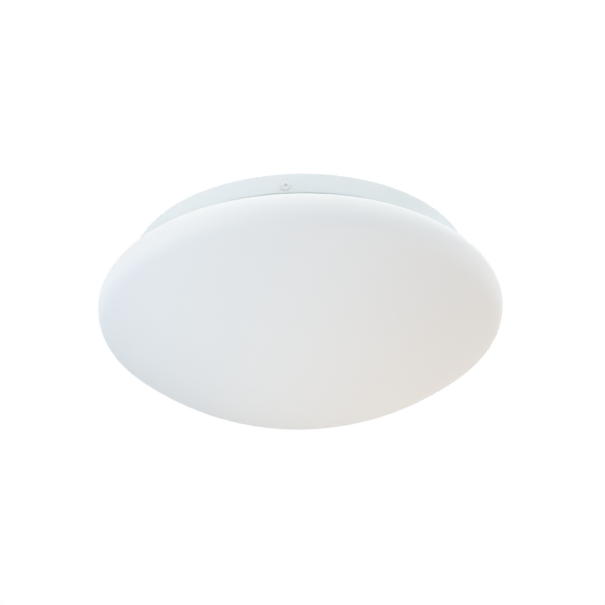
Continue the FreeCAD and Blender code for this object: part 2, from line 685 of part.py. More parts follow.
def screw_outline(seat, length, thread, head, height):
    """A pan head screw's half outline, pointing along +X from its seat."""
    return [
        (f"{seat} - {height}", "0"),
        (f"{seat} - {height}", f"{head}/2 - {height}/2", None, f"{head}/2", "right"),
        (f"{seat} - {height}/4", f"{head}/2"),
        (seat, f"{head}/2"),
        (seat, f"{thread}/2"),
        (f"{seat} + {length} - screw_chamfer", f"{thread}/2"),
        (f"{seat} + {length}", f"{thread}/2 - screw_chamfer"),
        (f"{seat} + {length}", "0"),
    ]


def make_holder_screws(name, sign, turn):
    """The two screws through the bracket into the back of the porcelain."""
    body = start_body(f"{name}_holder_screws")
    seat = "(-bracket_sheet - 2*seat_gap)"
    length = "holder_screw_length"
    outline = screw_outline(seat, length, "small_thread", "small_head", "small_head_height")
    sketch = start_sketch(body, "XZ_Plane", "screw_outline", "-holder_screw_spread/2")
    path(sketch, outline)
    screw = body.newObject("PartDesign::Revolution", "screw")
    screw.Profile = sketch
    screw.ReferenceAxis = (sketch, ["H_Axis"])
    screw.Angle = 360
    polar(body, [screw], 2, axis="X_Axis")
    at_lamp(body, sign, turn)


def make_foot_screws():
    """The four screws that hold the brackets' feet to the pan, heads down."""
    body = start_body("bracket_screws")
    head_top = f"({PLATE} - bracket_sheet - 3*seat_gap)"
    shank = start_sketch(body, "XY_Plane", "shank_outline", head_top)
    head = start_sketch(body, "XY_Plane", "head_outline", head_top)
    for x, y in foot_screw_places():
        circle(shank, x, y, "small_thread/2")
        circle(head, x, y, "small_head/2")
    pad(body, head, "small_head_height", "heads", back=True)
    pad(body, shank, "foot_screw_length", "shanks")


def make_holder(name, sign, turn):
    """The porcelain lamp holder: a cup with four wire holes in its top and two screw holes behind."""
    body = start_body(f"{name}_lamp_holder")
    bore = f"({SHELL_R} + hole_gap)"
    revolve(
        body,
        [
            ("0", "0"),
            ("0", "holder_back_radius", "bracket_bend"),
            ("holder_length", "holder_mouth_radius", "bracket_bend"),
            ("holder_length", bore),
            ("holder_floor", bore),
            ("holder_floor", "0"),
        ],
        axis="H_Axis",
        name="porcelain",
    )
    back_holes = start_sketch(body, "YZ_Plane", "screw_holes_outline")
    for side in SIDES:
        circle(back_holes, f"{side}*holder_screw_spread/2", "0", "small_thread/2 + thread_gap")
    pocket(body, back_holes, "holder_screw_length + seat_gap", "screw_holes", back=True)
    wires = start_sketch(body, "XY_Plane", "wire_holes_outline", "wire_hole_floor")
    for y in ("wire_hole_inner", "wire_hole_outer", "-wire_hole_inner", "-wire_hole_outer"):
        circle(wires, "wire_hole_at", y, "wire_diameter/2 + hole_gap")
    pocket(body, wires, "holder_mouth_radius", "wire_holes", back=True)
    at_lamp(body, sign, turn)


def make_shell(name, sign, turn):
    """The brass screw shell inside a holder, with a turned-in floor."""
    body = start_body(f"{name}_screw_shell")
    bore, end = "(shell_bore/2)", "(holder_floor + shell_length)"
    revolve(
        body,
        [
            ("holder_floor", "shell_floor_hole/2"),
            ("holder_floor", SHELL_R, "2*shell_sheet"),
            (end, SHELL_R),
            (end, bore),
            ("holder_floor + shell_sheet", bore, "shell_sheet"),
            ("holder_floor + shell_sheet", "shell_floor_hole/2"),
        ],
        axis="H_Axis",
        name="shell",
    )
    at_lamp(body, sign, turn)


def make_contact(name, sign, turn):
    """The brass spring strip on the holder's floor, which touches the lamp's tip."""
    body = start_body(f"{name}_centre_contact")
    base = "(holder_floor + contact_sheet/2)"
    crest = "(holder_floor + contact_rise)"
    line = start_sketch(body, "XZ_Plane", "strip_line")
    path(
        line,
        [
            (base, "-contact_width*5/4"),
            (base, "-contact_width/3", "contact_sheet*2"),
            (crest, "contact_width/3", "contact_sheet*2"),
            (f"{crest} - contact_sheet*2", "contact_width"),
        ],
        closed=False,
    )
    section = start_sketch(body, "XY_Plane", "strip_section", "-contact_width*5/4")
    low, high, half = "holder_floor", "(holder_floor + contact_sheet)", "(contact_width/2)"
    path(section, [(low, f"-{half}"), (high, f"-{half}"), (high, half), (low, half)])
    strip = body.newObject("PartDesign::AdditivePipe", "strip")
    strip.Profile = section
    strip.Spine = line
    at_lamp(body, sign, turn)


# ---------------------------------------------------------------- the lamps


def make_lamp(name, sign, turn):
    """A screw-in lamp: tip contact, insulator, screw cap, plastic body and globe."""
    tip_end = f"({LAMP_START} + lamp_tip_height)"
    cap, tip = "(lamp_cap/2)", "(lamp_tip/2)"
    cap_in = "(lamp_cap/2 - lamp_cap_sheet)"
    cone = "(lamp_cap/2 - lamp_cap_taper)"
    globe_in = "(lamp_globe/2 - lamp_globe_wall)"
    pieces = {
        "lamp_tip": [
            (LAMP_START, "0"),
            (LAMP_START, f"{tip} - lamp_tip_height", None, "lamp_tip_height", "right"),
            (tip_end, tip),
            (tip_end, "0"),
        ],
        "lamp_insulator": [
            (tip_end, "0"),
            (tip_end, f"{tip} + insulator_step"),
            (CAP_START, cone),
            (CAP_START, "0"),
        ],
        "lamp_cap": [
            (CAP_START, "0"),
            (CAP_START, cone),
            (f"{CAP_START} + lamp_cap_taper", cap),
            (CAP_END, cap),
            (CAP_END, cap_in),
            (f"{CAP_START} + lamp_cap_taper", cap_in),
            (f"{CAP_START} + lamp_cap_sheet", f"{cone} - lamp_cap_sheet"),
            (f"{CAP_START} + lamp_cap_sheet", "0"),
        ],
        "lamp_body": [
            (f"{CAP_END} - lamp_cap_length/3", f"{cap_in} - lamp_wall"),
            (f"{CAP_END} - lamp_cap_length/3", f"{cap_in} - seat_gap"),
            (f"{CAP_END} + seat_gap", f"{cap_in} - seat_gap"),
            (f"{CAP_END} + seat_gap", f"{cap} + lamp_body_step", None, "2*lamp_collar", "left"),
            (COLLAR_END, GLOBE_MOUTH),
            (COLLAR_END, f"{GLOBE_MOUTH_IN} - seat_gap"),
            (f"{COLLAR_END} + 2*lamp_wall", f"{GLOBE_MOUTH_IN} - seat_gap"),
            (f"{COLLAR_END} + 2*lamp_wall", "0"),
            (f"{COLLAR_END} + lamp_wall", "0"),
            (f"{COLLAR_END} + lamp_wall", f"{GLOBE_MOUTH_IN} - seat_gap - lamp_wall"),
            (f"{COLLAR_END} - lamp_wall", f"{GLOBE_MOUTH_IN} - lamp_wall", None, "2*lamp_collar", "right"),
            (f"{CAP_END} + lamp_wall", f"{cap_in} - lamp_wall"),
        ],
        "lamp_globe": [
            (f"{COLLAR_END} + seat_gap", GLOBE_MOUTH, None, "lamp_globe/2", "right"),
            (GLOBE_MIDDLE, "lamp_globe/2", None, "lamp_globe/2", "right"),
            (f"{GLOBE_MIDDLE} + lamp_globe/2", "0"),
            (f"{GLOBE_MIDDLE} + {globe_in}", "0", None, globe_in, "left"),
            (GLOBE_MIDDLE, globe_in, None, globe_in, "left"),
            (f"{COLLAR_END} + seat_gap", GLOBE_MOUTH_IN),
        ],
    }
    for piece, outline in pieces.items():
        body = start_body(f"{name}_{piece}")
        revolve(body, outline, axis="H_Axis", name=piece)
        at_lamp(body, sign, turn)


# ---------------------------------------------------------------- the terminals


def block_screw_places():
    """The two holes that hold the terminal block, between its poles."""
    return [("block_x", f"({BLOCK_Y} + {side}*pole_pitch/2)") for side in SIDES]


def clamp_screw_places(pole):
    """The two clamp screws of a pole, in the block's own frame."""
    return [(f"({side}*terminal_screw_spread/2)", f"({pole}*pole_pitch)") for side in SIDES]


def make_terminal_block():
    """The three pole terminal block, with a wire hole and two screw wells for each pole."""
    body = start_body("terminal_block")
    half = "(block_width/2)"
    outline = start_sketch(body, "XZ_Plane", "block_outline")
    path(
        outline,
        [
            (f"-{half}", "0"),
            (f"-{half}", "-block_height*2/3"),
            (f"-{half}*2/3", "-block_height"),
            (f"{half}*2/3", "-block_height"),
            (half, "-block_height*2/3"),
            (half, "0"),
        ],
    )
    pad(body, outline, "2*(pole_pitch + block_end)", "block", symmetric=True)
    bores = start_sketch(body, "YZ_Plane", "insert_holes_outline")
    wells = start_sketch(body, "XY_Plane", "screw_wells_outline", "-pole_drop")
    for pole in POLES:
        circle(bores, f"{pole}*pole_pitch", "-pole_drop", "insert_diameter/2 + seat_gap")
        for x, y in clamp_screw_places(pole):
            circle(wells, x, y, "small_thread/2 + 2*hole_gap")
    pocket(body, bores, "2*block_width", "insert_holes", symmetric=True)
    pocket(body, wells, "block_height", "screw_wells")
    fixing = start_sketch(body, "XY_Plane", "fixing_holes_outline")
    seats = start_sketch(body, "XY_Plane", "fixing_seats_outline", "-block_height + small_head_height")
    for side in SIDES:
        circle(fixing, "0", f"{side}*pole_pitch/2", "small_thread/2 + hole_gap")
        circle(seats, "0", f"{side}*pole_pitch/2", "small_head/2 + hole_gap")
    pocket(body, fixing, "2*block_height", "fixing_holes", symmetric=True)
    pocket(body, seats, "block_height", "fixing_seats")
    at_block(body)


def at_block(body):
    """Puts a piece in the terminal block's own frame: its origin is on the pan's underside."""
    place(body, ("block_x", BLOCK_Y, f"{PLATE} - seat_gap"))


def make_inserts():
    """The brass inserts of the three poles, as tubes with two tapped holes each."""
    body = start_body("terminal_inserts")
    rings = start_sketch(body, "YZ_Plane", "insert_outline")
    taps = start_sketch(body, "XY_Plane", "tapped_holes_outline", "-pole_drop")
    for pole in POLES:
        circle(rings, f"{pole}*pole_pitch", "-pole_drop", "insert_diameter/2")
        circle(rings, f"{pole}*pole_pitch", "-pole_drop", "insert_bore/2")
        for x, y in clamp_screw_places(pole):
            circle(taps, x, y, "small_thread/2 + thread_gap")
    pad(body, rings, "insert_length", "inserts", symmetric=True)
    pocket(body, taps, "insert_diameter", "tapped_holes")
    at_block(body)


def make_terminal_screws():
    """The six clamp screws, which press on the wires."""
    body = start_body("terminal_screws")
    tip = "(-pole_drop - wire_diameter/2 - seat_gap)"
    sketch = start_sketch(body, "XY_Plane", "screws_outline", tip)
    slots = start_sketch(body, "XY_Plane", "slots_outline", "-block_height + small_head_height/2")
    for pole in POLES:
        for x, y in clamp_screw_places(pole):
            circle(sketch, x, y, "small_thread/2")
            wide, thin = "(small_thread)", "(recess_slot/3)"
            path(
                slots,
                [
                    (f"{x} - {thin}", f"{y} - {wide}"),
                    (f"{x} + {thin}", f"{y} - {wide}"),
                    (f"{x} + {thin}", f"{y} + {wide}"),
                    (f"{x} - {thin}", f"{y} + {wide}"),
                ],
            )
    pad(body, sketch, f"block_height - small_head_height/4 + {tip}", "screws", back=True)
    pocket(body, slots, "small_head_height", "slots")
    at_block(body)


def make_block_screws():
    """The two screws that hold the terminal block to the pan, heads down in their seats."""
    body = start_body("block_screws")
    head_top = "(-block_height + small_head_height - seat_gap)"
    head = start_sketch(body, "XY_Plane", "head_outline", head_top)
    shank = start_sketch(body, "XY_Plane", "shank_outline", head_top)
    for side in SIDES:
        circle(head, "0", f"{side}*pole_pitch/2", "small_head/2")
        circle(shank, "0", f"{side}*pole_pitch/2", "small_thread/2")
    pad(body, head, "small_head_height - 4*seat_gap", "heads", back=True)
    pad(body, shank, f"block_height - small_head_height + foot_screw_length/2 + pan_sheet", "shanks")
    at_block(body)


# ---------------------------------------------------------------- the earth connection


def at_earth(body, down):
    """Puts a piece on the earth screw's axis, down below the pan's underside."""
    place(body, ("earth_x", EARTH_Y, f"{PLATE} - {down}"))


def make_earth_washer():
    """The toothed washer that bites through the pan's paint."""
    body = start_body("earth_washer")
    ring = start_sketch(body, "XY_Plane", "washer_outline")
    circle(ring, "0", "0", "earth_washer/2")
    circle(ring, "0", "0", "clip_screw_thread/2 + hole_gap")
    washer = pad(body, ring, "earth_washer_sheet", "washer", back=True)
    gap = start_sketch(body, "XY_Plane", "tooth_gap_outline")
    outer, inner = "(earth_washer/2 + washer_tooth)", "(earth_washer/2 - washer_tooth)"
    path(gap, [(inner, "0"), (outer, "-washer_tooth"), (outer, "washer_tooth")])
    first = pocket(body, gap, "2*earth_washer_sheet", "tooth_gap", symmetric=True)
    polar(body, [first], WASHER_TEETH)
    at_earth(body, "seat_gap")


def make_earth_terminal():
    """The ring terminal under the earth screw, with a crimped barrel for its wire."""
    body = start_body("earth_ring_terminal")
    tongue = start_sketch(body, "XY_Plane", "tongue_outline")
    ring, neck = "(earth_ring/2)", "(wire_diameter)"
    shoulder = f"sqrt({ring}^2 - {neck}^2)"
    end = "(earth_barrel_at + earth_sheet)"
    path(
        tongue,
        [
            (f"-{neck}", f"-{shoulder}"),
            (f"-{neck}", f"-{end}"),
            (neck, f"-{end}"),
            (neck, f"-{shoulder}", None, ring, "left"),
            (ring, "0", None, ring, "left"),
            ("0", ring, None, ring, "left"),
            (f"-{ring}", "0", None, ring, "left"),
        ],
    )
    circle(tongue, "0", "0", "clip_screw_thread/2 + hole_gap")
    pad(body, tongue, "earth_sheet", "tongue", back=True)
    barrel = start_sketch(body, "XZ_Plane", "barrel_outline", "earth_barrel_at")
    drop = "(-wire_diameter/2 - 3/2*earth_sheet)"
    circle(barrel, "0", drop, "wire_diameter/2 + earth_sheet")
    circle(barrel, "0", drop, "wire_diameter/2 + seat_gap")
    pad(body, barrel, "earth_barrel", "barrel")
    at_earth(body, "(2*seat_gap + earth_washer_sheet)")


def make_earth_screw():
    """The earth screw, up through the ring terminal and the washer into the pan."""
    body = start_body("earth_screw")
    under = "(3*seat_gap + earth_washer_sheet + earth_sheet)"
    head = start_sketch(body, "XY_Plane", "head_outline")
    circle(head, "0", "0", "earth_head/2")
    shank = start_sketch(body, "XY_Plane", "shank_outline")
    circle(shank, "0", "0", "clip_screw_thread/2")
    pad(body, head, "clip_screw_head_height", "head", back=True)
    pad(body, shank, f"{under} + pan_sheet + well_drop/2", "shank")
    cross_recess(body, "XY_Plane", "-clip_screw_head_height", "recess", back=True)
    at_earth(body, under)


# ---------------------------------------------------------------- the wires


def wire(name, points):
    """A round wire along straight runs joined by the largest arcs that the runs allow."""
    spots = [Vector(*(size(c) for c in point)) for point in points]
    edges, start = [], spots[0]
    for i in range(1, len(spots) - 1):
        back, on = spots[i - 1] - spots[i], spots[i + 1] - spots[i]
        half_turn = (math.pi - back.getAngle(on)) / 2
        trim = 0.45 * min(back.Length, on.Length)
        back.normalize()
        on.normalize()
        radius = trim / math.tan(half_turn)
        first, last = spots[i] + back * trim, spots[i] + on * trim
        inward = (back + on).normalize()
        middle = spots[i] + inward * (radius / math.cos(half_turn) - radius)
        edges += [Part.LineSegment(start, first).toShape(), Part.Arc(first, middle, last).toShape()]
        start = last
        print(f"{name}: bend of radius {radius:.1f} mm")
    edges.append(Part.LineSegment(start, spots[-1]).toShape())
    line = Part.Wire(edges)
    radius = size("wire_diameter/2")
    rim = Part.Wire(Part.Circle(spots[0], spots[1] - spots[0], radius).toShape())
    piece = doc.addObject("Part::Feature", name)
    piece.Shape = line.makePipeShell([rim], True, False)
    wanted = math.pi * radius**2 * line.Length
    if abs(piece.Shape.Volume / wanted - 1) > 0.01:
        raise RuntimeError(f"{name}: volume {piece.Shape.Volume:.1f}, wanted {wanted:.1f}")
    piece.Label = name
    subparts.append(piece)


def holder_wire_end(sign, y):
    """Where a wire starts inside a holder's top, and where it turns."""
    x = f"({sign}*(wire_hole_at - holder_back))"
    across = f"({-sign}*lamp_offset + {sign}*{y})"
    return x, across, f"(-lamp_drop + {HOLDER_TOP} - wire_in_holder)"


def pole_wire_end(pole):
    x = "(block_x - block_width/2 + wire_in_pole)"
    return x, f"({BLOCK_Y} + {pole}*pole_pitch)", POLE_Z


def make_wires():
    """Live and neutral from the block to the left holder and on to the right one, and the earth."""
    feeds = {"live_wire": (-1, "wire_hole_inner"), "neutral_wire": (0, "(-wire_hole_inner)")}
    for name, (pole, hole) in feeds.items():
        x, y, z = holder_wire_end(-1, hole)
        wire(name, [(x, y, z), (x, y, POLE_Z), pole_wire_end(pole)])
    links = {
        "live_link_wire": ("wire_hole_outer", "lower_wire_drop"),
        "neutral_link_wire": ("(-wire_hole_outer)", "upper_wire_drop"),
    }
    for name, (hole, drop) in links.items():
        x, y, z = holder_wire_end(-1, hole)
        x_end, y_end, _ = holder_wire_end(1, hole)
        wire(name, [(x, y, z), (x, y, f"-{drop}"), (x_end, y_end, f"-{drop}"), (x_end, y_end, z)])
    start = pole_wire_end(1)
    barrel_z = f"({PLATE} - 2*seat_gap - earth_washer_sheet - wire_diameter/2 - 3/2*earth_sheet)"
    wire(
        "earth_wire",
        [
            start,
            ("(block_x - block_width/2 - wire_lead)", start[1], POLE_Z),
            ("earth_x", start[1], barrel_z),
            ("earth_x", f"({EARTH_Y} - earth_barrel_at - wire_diameter/2)", barrel_z),
        ],
    )


make_pan()
make_cable_bush()
make_shade()
for clip in range(1, CLIPS + 1):
    make_clip(clip)
make_clip_screws()
make_clip_nuts()
for lamp in TWO_LAMPS:
    make_bracket(*lamp)
    make_holder_screws(*lamp)
    make_holder(*lamp)
    make_shell(*lamp)
    make_contact(*lamp)
    make_lamp(*lamp)
make_foot_screws()
make_terminal_block()
make_inserts()
make_terminal_screws()
make_block_screws()
make_earth_washer()
make_earth_terminal()
make_earth_screw()
make_wires()
doc.recompute()

for item in doc.Objects:
    if "Invalid" in item.State or "Error" in item.State:
        raise RuntimeError(f"{item.Name} failed: {item.State}")
os.makedirs("parts", exist_ok=True)
for piece in subparts:
    shape = piece.Shape
    if shape.isNull() or not shape.isValid() or not shape.Solids:
        raise RuntimeError(f"{piece.Label} has no valid solid")
    shape.exportStep(f"parts/{piece.Label}.step")
print(f"{len(subparts)} sub-parts written")
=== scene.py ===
"""Looks of the flush mount ceiling light: finishes, screw threads, studio and camera. Metres, Z up."""
import json
import math

import bmesh
import bpy
from mathutils import Matrix, Vector


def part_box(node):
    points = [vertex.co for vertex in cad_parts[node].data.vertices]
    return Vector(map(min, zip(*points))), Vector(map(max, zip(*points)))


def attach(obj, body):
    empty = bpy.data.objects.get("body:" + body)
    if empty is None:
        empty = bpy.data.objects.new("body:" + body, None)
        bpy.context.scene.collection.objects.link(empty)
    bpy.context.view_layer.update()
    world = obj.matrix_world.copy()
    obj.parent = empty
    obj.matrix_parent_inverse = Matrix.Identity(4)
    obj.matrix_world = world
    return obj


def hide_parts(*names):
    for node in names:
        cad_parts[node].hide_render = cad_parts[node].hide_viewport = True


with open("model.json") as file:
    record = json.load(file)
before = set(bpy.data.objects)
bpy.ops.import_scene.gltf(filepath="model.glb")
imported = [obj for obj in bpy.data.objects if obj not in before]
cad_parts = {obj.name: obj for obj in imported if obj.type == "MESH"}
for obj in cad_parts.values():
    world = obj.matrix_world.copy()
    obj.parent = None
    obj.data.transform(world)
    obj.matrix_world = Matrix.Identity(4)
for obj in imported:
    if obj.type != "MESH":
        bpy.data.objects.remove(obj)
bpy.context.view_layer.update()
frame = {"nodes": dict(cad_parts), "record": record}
nodes = frame["nodes"]

MM = 0.001

# ------------------------------------------------------------------ camera
IMAGE = 605  # the photograph is square, in pixels
AIM = Vector((0, 0, -0.050))  # middle of the bowl's widest line
AIM_PIXEL = (300.57, 318.68)  # where the photograph shows that point
FOCAL_PIXELS = 1375.3
DISTANCE = 1.2  # metres from AIM to the camera
BELOW = math.radians(29.61)  # the camera looks up by this much
AROUND = math.radians(4.0)  # and stands this far round from -Y
TILT = math.radians(0.84)  # the photograph's content leans to the left


def direction(around, up):
    """Towards a place so far round from -Y to +X and so far up, both in radians."""
    return Vector((math.cos(up) * math.sin(around), -math.cos(up) * math.cos(around), math.sin(up)))


def make_camera():
    data = bpy.data.cameras.new("camera")
    data.sensor_width = 36
    data.lens = FOCAL_PIXELS * data.sensor_width / IMAGE
    data.shift_x = (IMAGE / 2 - AIM_PIXEL[0]) / IMAGE
    data.shift_y = (AIM_PIXEL[1] - IMAGE / 2) / IMAGE
    data.clip_start, data.clip_end = 0.01, 50
    camera = bpy.data.objects.new("camera", data)
    bpy.context.scene.collection.objects.link(camera)
    outward = direction(AROUND, -BELOW)
    place = Matrix.Translation(AIM + outward * DISTANCE)
    turn = (-outward).to_track_quat("-Z", "Y").to_matrix().to_4x4()
    camera.matrix_world = place @ turn @ Matrix.Rotation(-TILT, 4, "Z")
    bpy.context.scene.camera = camera


# ------------------------------------------------------------------ studio
FLOOR_Z = -1.35  # below a camera that looks straight up at the bowl
FLOOR_RADIUS = 6
WORLD_LIGHT = (0.482, 0.505, 0.519)  # what lights the object from all round
FLOOR_TONE, FLOOR_GLOW = 0.40, 0.50  # the floor's own grey, and what it gains where it is looked at


def seen_directly(tree):
    """1 for camera, glossy and transmission rays, 0 for the rays that light things."""
    path = tree.nodes.new("ShaderNodeLightPath")
    add = tree.nodes.new("ShaderNodeMath")
    add.operation = "ADD"
    add.use_clamp = True
    tree.links.new(path.outputs["Is Camera Ray"], add.inputs[0])
    tree.links.new(path.outputs["Is Glossy Ray"], add.inputs[1])
    both = tree.nodes.new("ShaderNodeMath")
    both.operation = "ADD"
    both.use_clamp = True
    tree.links.new(add.outputs[0], both.inputs[0])
    tree.links.new(path.outputs["Is Transmission Ray"], both.inputs[1])
    return both.outputs[0]


def make_world():
    world = bpy.data.worlds.new("studio")
    bpy.context.scene.world = world
    world.use_nodes = True
    tree = world.node_tree
    tree.nodes.clear()
    out = tree.nodes.new("ShaderNodeOutputWorld")
    lit = tree.nodes.new("ShaderNodeBackground")
    lit.inputs["Color"].default_value = (*WORLD_LIGHT, 1)
    shown = tree.nodes.new("ShaderNodeBackground")
    shown.inputs["Color"].default_value = (1, 1, 1, 1)
    shown.inputs["Strength"].default_value = 1.0
    mix = tree.nodes.new("ShaderNodeMixShader")
    tree.links.new(seen_directly(tree), mix.inputs[0])
    tree.links.new(lit.outputs[0], mix.inputs[1])
    tree.links.new(shown.outputs[0], mix.inputs[2])
    tree.links.new(mix.outputs[0], out.inputs["Surface"])


def make_floor():
    bpy.ops.mesh.primitive_circle_add(
        vertices=96, radius=FLOOR_RADIUS, fill_type="NGON", location=(0, 0, FLOOR_Z))
    floor = bpy.context.object
    floor.name = "floor"
    material = bpy.data.materials.new("floor")
    material.use_nodes = True
    tree = material.node_tree
    tree.nodes.clear()
    out = tree.nodes.new("ShaderNodeOutputMaterial")
    matt = tree.nodes.new("ShaderNodeBsdfDiffuse")
    matt.inputs["Color"].default_value = (FLOOR_TONE, FLOOR_TONE, FLOOR_TONE, 1)
    gain = tree.nodes.new("ShaderNodeMath")
    gain.operation = "MULTIPLY"
    gain.inputs[1].default_value = FLOOR_GLOW
    tree.links.new(seen_directly(tree), gain.inputs[0])
    glow = tree.nodes.new("ShaderNodeEmission")
    tree.links.new(gain.outputs[0], glow.inputs["Strength"])
    both = tree.nodes.new("ShaderNodeAddShader")
    tree.links.new(matt.outputs[0], both.inputs[0])
    tree.links.new(glow.outputs[0], both.inputs[1])
    tree.links.new(both.outputs[0], out.inputs["Surface"])
    floor.data.materials.append(material)


# Soft round lights, all aimed at the bowl: degrees round from the camera's side towards +X, degrees up,
# half the angle that the light fills, its distance in metres, its watts and its colour. A least-squares fit
# to the photograph's shading gave these, rounded; two of the low ones were then raised.
LIGHTS = {
    "overhead": (0, 90, 17, 1.6, 6.8, (0.96, 0.98, 1)),
    "left": (-75, 20, 17, 1.6, 9.2, (1, 0.94, 0.90)),
    "front_right": (40, 20, 17, 1.6, 8.4, (1, 1, 0.98)),
    "back_right": (110, 20, 17, 1.6, 7.1, (0.97, 0.99, 1)),
    "high_right": (60, 50, 17, 1.6, 3.0, (1, 0.75, 0.60)),
    "low_left": (-90, -45, 17, 1.0, 2.3, (0.60, 0.83, 1)),
    "low_front": (-20, -30, 17, 1.0, 3.5, (1, 0.99, 1)),
    "low_back": (128, -58, 11, 1.0, 4.9, (1, 0.83, 0.68)),
}


def make_lights():
    for name, (around, up, half, distance, watts, colour) in LIGHTS.items():
        outward = direction(math.radians(around), math.radians(up))
        data = bpy.data.lights.new(name, "AREA")
        data.shape = "DISK"
        data.size = 2 * distance * math.tan(math.radians(half))
        data.energy = watts
        data.color = colour
        light = bpy.data.objects.new(name, data)
        light.location = AIM + outward * distance
        light.rotation_mode = "QUATERNION"
        light.rotation_quaternion = (-outward).to_track_quat("-Z", "Y")
        light.visible_camera = False
        light.visible_glossy = False  # no lamp shines back off the pan or the glass as a white patch
        bpy.context.scene.collection.objects.link(light)


# ------------------------------------------------------------------ materials
class Finish:
    """A principled material and the few node groups that the finishes share."""

    def __init__(self, name, colour, roughness, **sockets):
        self.material = bpy.data.materials.new(name)
        self.material.use_nodes = True
        self.tree = self.material.node_tree
        self.shader = self.tree.nodes["Principled BSDF"]
        self.shader.inputs["Base Color"].default_value = (*colour, 1)
        self.shader.inputs["Roughness"].default_value = roughness
        for socket, value in sockets.items():
            self.shader.inputs[socket.replace("_", " ")].default_value = value
        self.bump = None

    def node(self, kind, **settings):
        node = self.tree.nodes.new(kind)
        for name, value in settings.items():
            setattr(node, name, value)
        return node

    def link(self, a, b):
        self.tree.links.new(a, b)

    def place(self, stretch=(1, 1, 1)):
        """Object coordinates in metres, stretched."""
        where = self.node("ShaderNodeTexCoord")
        mapping = self.node("ShaderNodeMapping")
        mapping.inputs["Scale"].default_value = stretch
        self.link(where.outputs["Object"], mapping.inputs["Vector"])
        return mapping.outputs["Vector"]

    def noise(self, per_metre, detail=3, stretch=(1, 1, 1)):
        noise = self.node("ShaderNodeTexNoise")
        noise.inputs["Scale"].default_value = per_metre
        noise.inputs["Detail"].default_value = detail
        self.link(self.place(stretch), noise.inputs["Vector"])
        return noise.outputs["Fac"]

    def spread(self, value, low, high):
        """Maps a 0..1 value to low..high."""
        spread = self.node("ShaderNodeMapRange")
        spread.inputs["From Min"].default_value = 0.3
        spread.inputs["From Max"].default_value = 0.7
        spread.inputs["To Min"].default_value = low
        spread.inputs["To Max"].default_value = high
        self.link(value, spread.inputs["Value"])
        return spread.outputs["Result"]

    def tint(self, value, one, other):
        """Base colour between two colours."""
        mix = self.node("ShaderNodeMix", data_type="RGBA")
        mix.inputs[6].default_value = (*one, 1)
        mix.inputs[7].default_value = (*other, 1)
        self.link(value, mix.inputs[0])
        self.link(mix.outputs[2], self.shader.inputs["Base Color"])
        return self

    def rough(self, value, low, high):
        self.link(self.spread(value, low, high), self.shader.inputs["Roughness"])
        return self

    def relief(self, value, height):
        """Adds bumps of a height in metres."""
        bump = self.node("ShaderNodeBump")
        bump.inputs["Strength"].default_value = 1.0
        bump.inputs["Distance"].default_value = height
        self.link(value, bump.inputs["Height"])
        if self.bump:
            self.link(self.bump, bump.inputs["Normal"])
        self.bump = bump.outputs["Normal"]
        self.link(self.bump, self.shader.inputs["Normal"])
        return self


def opal_glass():
    """White glass, etched to a satin outside: faint clouds of tone, a very fine grain and a soft sheen."""
    f = Finish("opal_glass", (0.77, 0.79, 0.805), 0.60, IOR=1.5, Specular_IOR_Level=0.35)
    f.tint(f.spread(f.noise(7, 2), 0, 1), (0.766, 0.787, 0.802), (0.776, 0.794, 0.808))
    f.rough(f.noise(900, 2), 0.57, 0.63)
    return f.relief(f.noise(2500, 2), 0.00002).material


def white_enamel():
    """Powder coat on the pan: slight orange peel and uneven gloss."""
    f = Finish("white_enamel", (0.74, 0.79, 0.815), 0.38, IOR=1.5, Specular_IOR_Level=0.4)
    f.tint(f.spread(f.noise(14, 2), 0, 1), (0.70, 0.755, 0.777), (0.708, 0.762, 0.784))
    f.rough(f.noise(900, 2), 0.35, 0.41)
    return f.relief(f.noise(520, 2), 0.000012).relief(f.noise(3000, 2), 0.000004).material


def metal(name, one, other, low, high, grain, stretch):
    """A metal with drawn streaks along the wide side of stretch."""
    f = Finish(name, one, low, Metallic=1)
    f.tint(f.spread(f.noise(90, 4), 0, 1), one, other)
    f.rough(f.noise(grain, 4, stretch), low, high)
    return f.relief(f.noise(grain, 3, stretch), 0.00001).material


def plastic(name, one, other, low, high, bumps, height, **sockets):
    """Plastic, rubber, glass or porcelain: slightly uneven in colour and gloss, with shallow bumps."""
    f = Finish(name, one, low, **sockets)
    f.tint(f.spread(f.noise(60, 4), 0, 1), one, other)
    f.rough(f.noise(300, 3), low, high)
    return f.relief(f.noise(bumps, 3), height).material


def striped_wire():
    """The earth wire's sleeve: green, with a yellow stripe above and below."""
    f = Finish("green_wire", (0.06, 0.30, 0.05), 0.4)
    split = f.node("ShaderNodeSeparateXYZ")
    f.link(f.node("ShaderNodeNewGeometry").outputs["Normal"], split.inputs[0])
    steep = f.node("ShaderNodeMath", operation="ABSOLUTE")
    f.link(split.outputs["Z"], steep.inputs[0])
    stripe = f.node("ShaderNodeMapRange")
    stripe.inputs["From Min"].default_value = 0.62
    stripe.inputs["From Max"].default_value = 0.68
    f.link(steep.outputs[0], stripe.inputs["Value"])
    f.tint(stripe.outputs["Result"], (0.05, 0.29, 0.05), (0.72, 0.58, 0.04))
    f.rough(f.noise(300, 3), 0.35, 0.45)
    return f.relief(f.noise(900, 3), 0.00001).material


